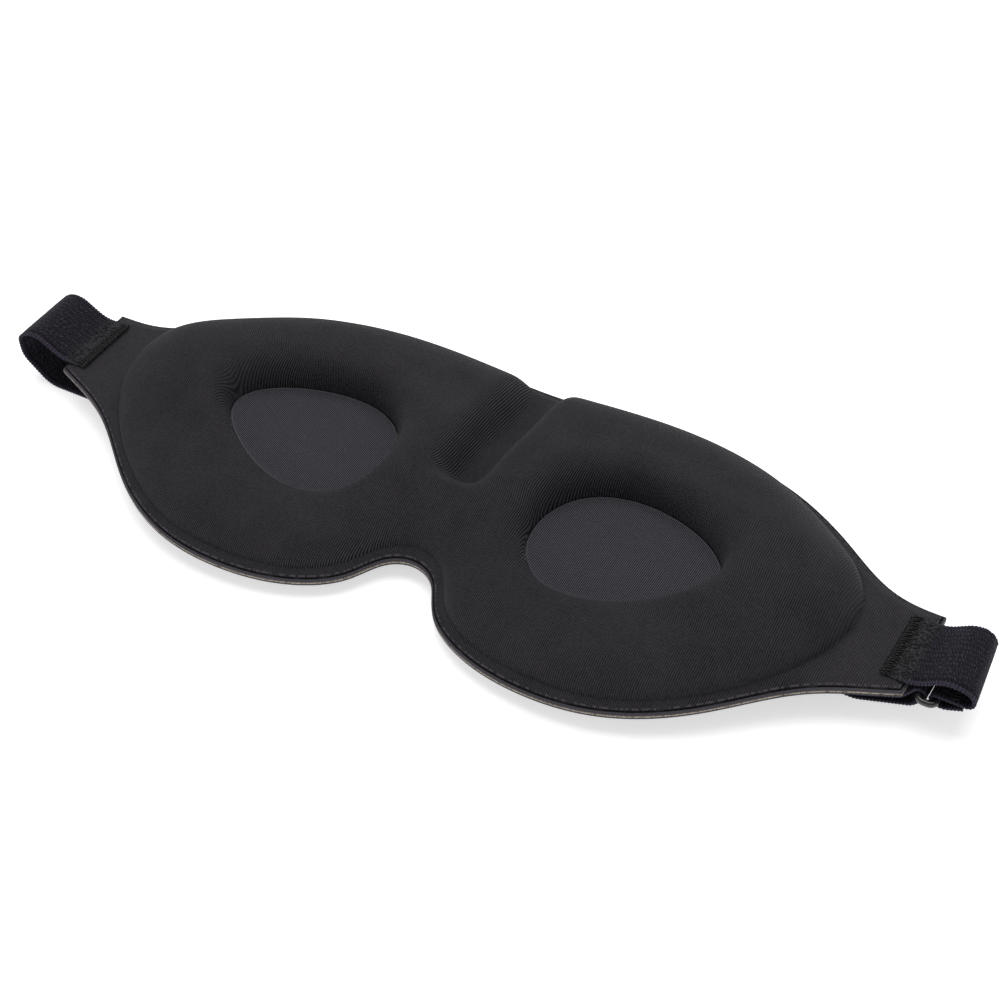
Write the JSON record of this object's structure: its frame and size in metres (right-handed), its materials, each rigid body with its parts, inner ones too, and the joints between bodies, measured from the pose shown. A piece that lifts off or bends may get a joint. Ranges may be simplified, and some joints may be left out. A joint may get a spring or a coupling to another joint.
{
  "type": "sleep eye mask",
  "caption": "Contoured sleep eye mask with padded rings round deep eye hollows, a nose notch, and an elastic head strap with ring and slider adjuster.",
  "frame": {"origin": "middle of the bounding box, on the surface that the mask lies on", "axes": "+X along the mask towards the wing that carries the ring, +Y towards the forehead edge, +Z out of the face side"},
  "size_m": [0.264, 0.0899, 0.0209],
  "materials": {
    "cover_knit": "matte black fine-ribbed knit",
    "lining_knit": "matte black fine-ribbed knit, glued flat",
    "shell_foam": "tan-grey pressed foam, seen as a thin line in the cut edge",
    "memory_foam": "soft open-cell foam, hidden",
    "elastic": "blue-black knitted elastic with looped edges",
    "gloss_black": "glossy black coated wire",
    "thread": "black polyester sewing thread"
  },
  "bodies": {
    "mask": {"outer_cover": "cover_knit", "shell_foam": "shell_foam", "eye_lining_left": "lining_knit", "eye_lining_right": "lining_knit", "memory_foam_pad": "memory_foam", "face_cover": "cover_knit", "strap_band": "elastic", "strap_tab": "elastic", "wing_stitches_left": "thread", "wing_stitches_right": "thread", "tab_end_stitches": "thread"},
    "ring": {"strap_ring": "gloss_black"},
    "slider": {"strap_slider": "gloss_black", "band_end_stitches": "thread"}
  },
  "joints": [
    {"name": "slider_travel", "type": "slide", "parent": "mask", "child": "slider", "axis": [-1, 0, 0], "range_m": [0, 0.11], "deforming": ["strap_band"]},
    {"name": "ring_swivel", "type": "hinge", "parent": "mask", "child": "ring", "pos_m": [0.1226, 0.0008, 0.0093], "axis": [0, 1, 0], "range_deg": [-30, 25], "deforming": ["strap_band"]}
  ]
}
